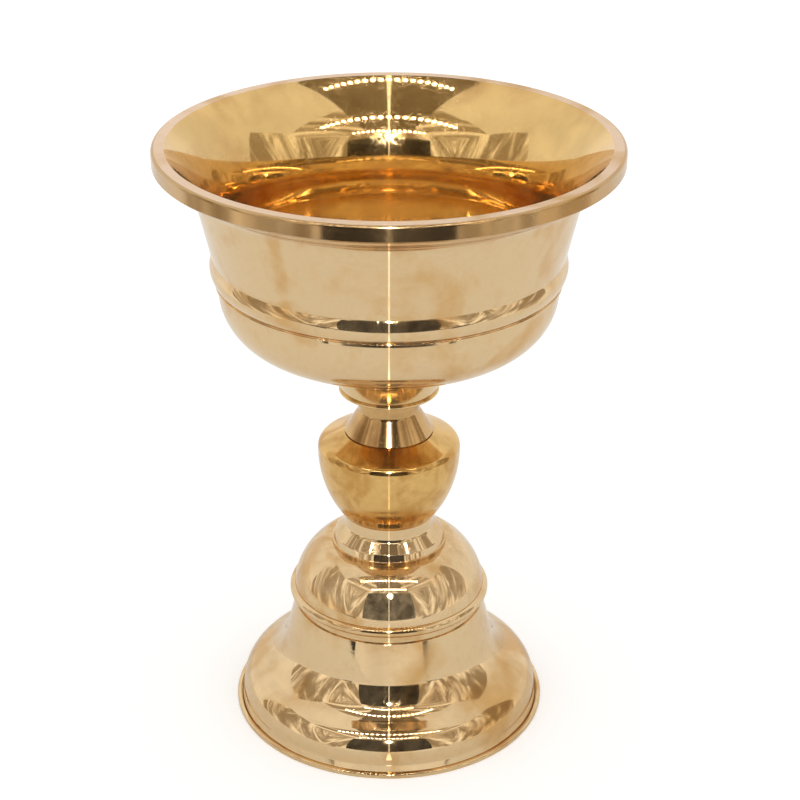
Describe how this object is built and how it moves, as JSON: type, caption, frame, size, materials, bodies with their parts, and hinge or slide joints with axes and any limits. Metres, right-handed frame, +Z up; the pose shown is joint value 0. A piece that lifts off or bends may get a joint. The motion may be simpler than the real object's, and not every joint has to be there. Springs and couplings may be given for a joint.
{
  "type": "pedestal bowl",
  "caption": "Turned brass pedestal bowl with a flared lip, on a short stem with a knop over a domed and bell-shaped foot; the bowl unscrews from the stem.",
  "frame": {"origin": "centre of the face that the base ring stands on", "axes": "+Z up along the axis that every piece is turned about; +X and +Y are equal, and -Y faces the viewer"},
  "size_m": [0.14, 0.14, 0.1924],
  "materials": {
    "bowl_brass": "polished, with a brushed band at the lip",
    "stem_brass": "polished, with fine turning marks",
    "foot_brass": "polished",
    "fibre": "matt",
    "steel": "zinc plated"
  },
  "bodies": {
    "stand": {"base_ring": "foot_brass", "foot_bell": "foot_brass", "bead_ring": "foot_brass", "foot_dome": "foot_brass", "lower_collar": "stem_brass", "knop": "stem_brass", "neck_cone": "stem_brass", "tie_rod": "steel", "plain_washer": "steel", "spring_washer": "steel", "hex_nut": "steel"},
    "seat": {"seat_washer": "fibre"},
    "bowl": {"bowl": "bowl_brass", "calyx": "bowl_brass", "boss_bush": "bowl_brass"}
  },
  "joints": [
    {"name": "bowl_turn", "type": "hinge", "parent": "stand", "child": "seat", "pos_m": [0, 0, 0.1116], "axis": [0, 0, 1], "range_deg": [0, 2880]},
    {"name": "bowl_rise", "type": "slide", "parent": "seat", "child": "bowl", "axis": [0, 0, 1], "range_m": [0, 0.01]}
  ],
  "couplings": [
    {"joint": "bowl_rise", "follows": "bowl_turn", "m_per_rad": 0.00019894}
  ]
}
